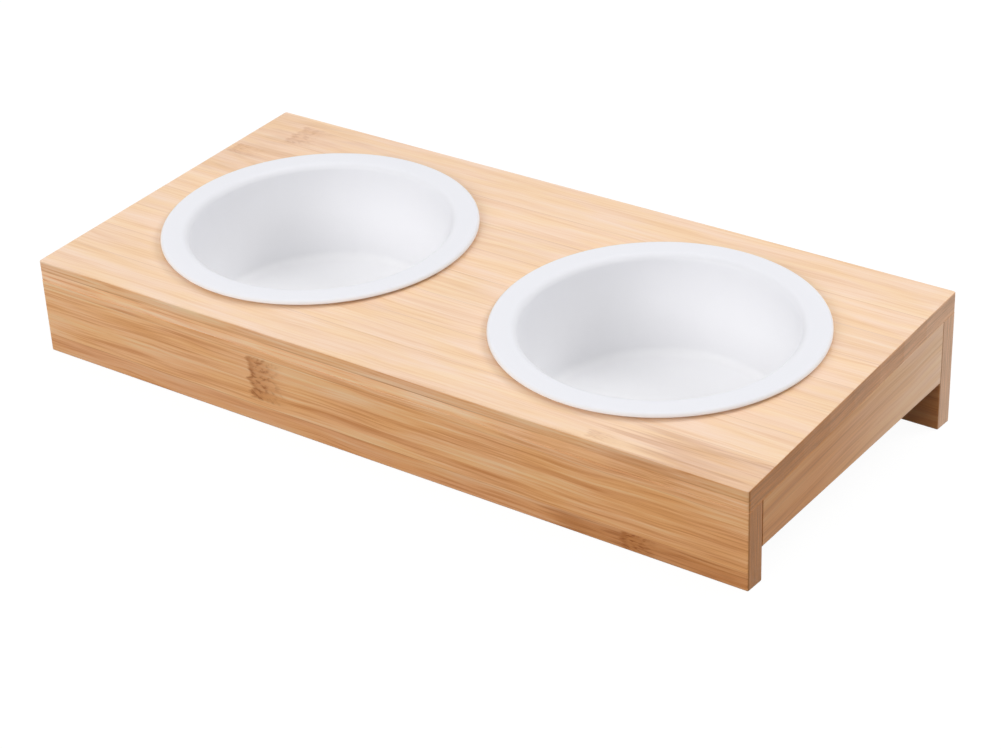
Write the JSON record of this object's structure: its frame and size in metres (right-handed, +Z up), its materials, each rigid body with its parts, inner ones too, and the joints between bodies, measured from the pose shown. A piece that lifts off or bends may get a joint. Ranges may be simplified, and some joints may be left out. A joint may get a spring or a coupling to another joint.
{
  "type": "tilted double cat bowl",
  "caption": "Low sloping bamboo stand with side-by-side flanged white ceramic bowls that hang in round holes and lift out for feeding cats and small pets.",
  "frame": {"origin": "middle of the footprint, on the floor", "axes": "+X along the length to the right as seen from the low front, +Y to the high back, +Z up"},
  "size_m": [0.4, 0.2022, 0.0727],
  "materials": {
    "bamboo": "laminated bamboo, fine straight grain, clear satin lacquer",
    "dowel_wood": "plain beech, glued in",
    "white_glaze": "white glossy glaze"
  },
  "bodies": {
    "stand": {"top_board": "bamboo", "front_leg_board": "bamboo", "rear_leg_board": "bamboo", "left_side_rail": "bamboo", "right_side_rail": "bamboo", "front_leg_dowels": "dowel_wood", "rear_leg_dowels": "dowel_wood", "left_rail_dowels": "dowel_wood", "right_rail_dowels": "dowel_wood", "left_corner_dowels": "dowel_wood", "right_corner_dowels": "dowel_wood"},
    "left_bowl": {"left_bowl": "white_glaze"},
    "right_bowl": {"right_bowl": "white_glaze"}
  },
  "joints": [
    {"name": "left_bowl_lift", "type": "slide", "parent": "stand", "child": "left_bowl", "axis": [0, -0.1045, 0.9945], "range_m": [0, 0.08]},
    {"name": "right_bowl_lift", "type": "slide", "parent": "stand", "child": "right_bowl", "axis": [0, -0.1045, 0.9945], "range_m": [0, 0.08]}
  ]
}
